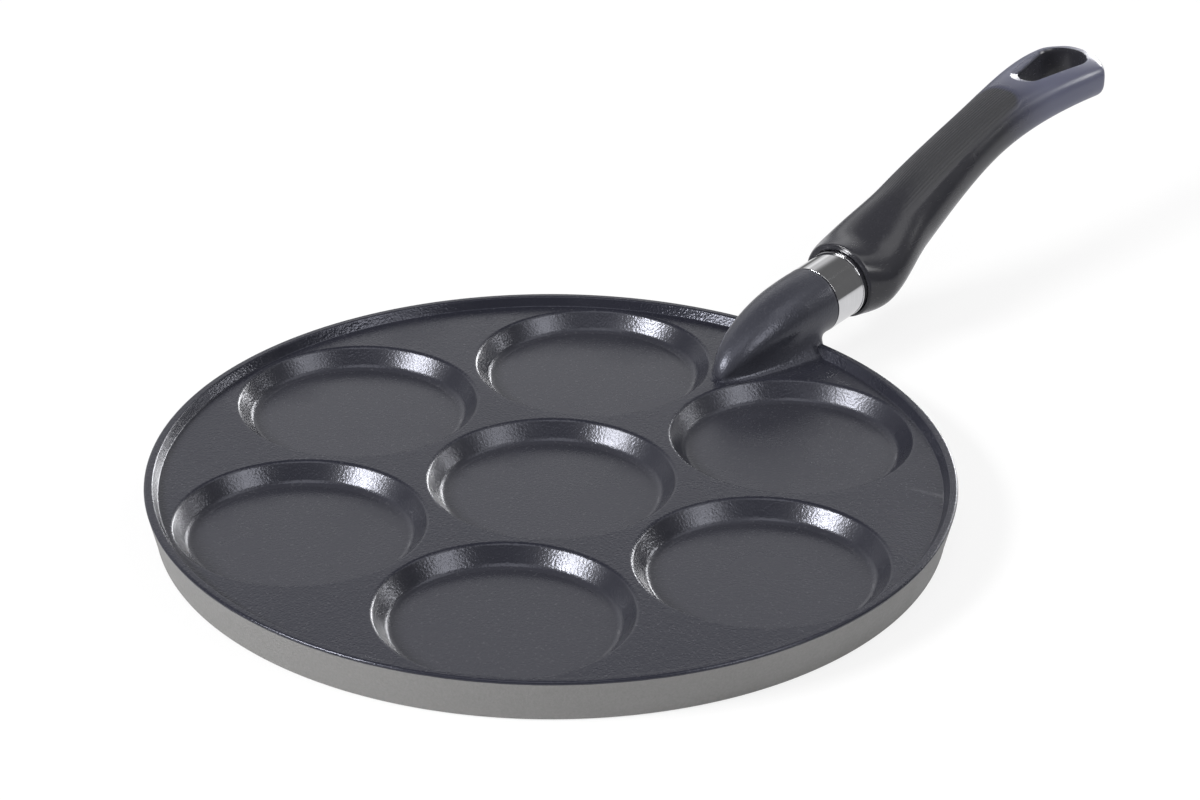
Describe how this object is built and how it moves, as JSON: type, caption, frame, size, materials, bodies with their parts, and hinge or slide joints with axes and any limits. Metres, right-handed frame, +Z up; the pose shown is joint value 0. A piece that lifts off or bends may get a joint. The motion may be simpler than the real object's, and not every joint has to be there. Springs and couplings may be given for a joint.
{
  "type": "pancake pan",
  "caption": "Cast pan with shallow round wells for small pancakes, a cast neck, a steel ferrule and a curved moulded handle with a hanging hole.",
  "frame": {"origin": "centre of the round flat base, on the hob", "axes": "+X along the handle away from the pan, +Z up out of the wells, +Y to the left seen from the handle's side of the pan looking at the wells"},
  "size_m": [0.4592, 0.2694, 0.0685],
  "materials": {
    "pan": "dark non-stick coating, satin, over cast aluminium; bare grey casting on the outer wall",
    "ferrule": "polished stainless steel",
    "handle": "glossy moulded phenolic with a matt grooved top",
    "hardware": "zinc plated steel"
  },
  "bodies": {
    "root": {"pan_body": "pan", "ferrule": "ferrule", "handle": "handle", "handle_bolt": "hardware", "spring_washer": "hardware", "flat_washer": "hardware"}
  },
  "joints": []
}
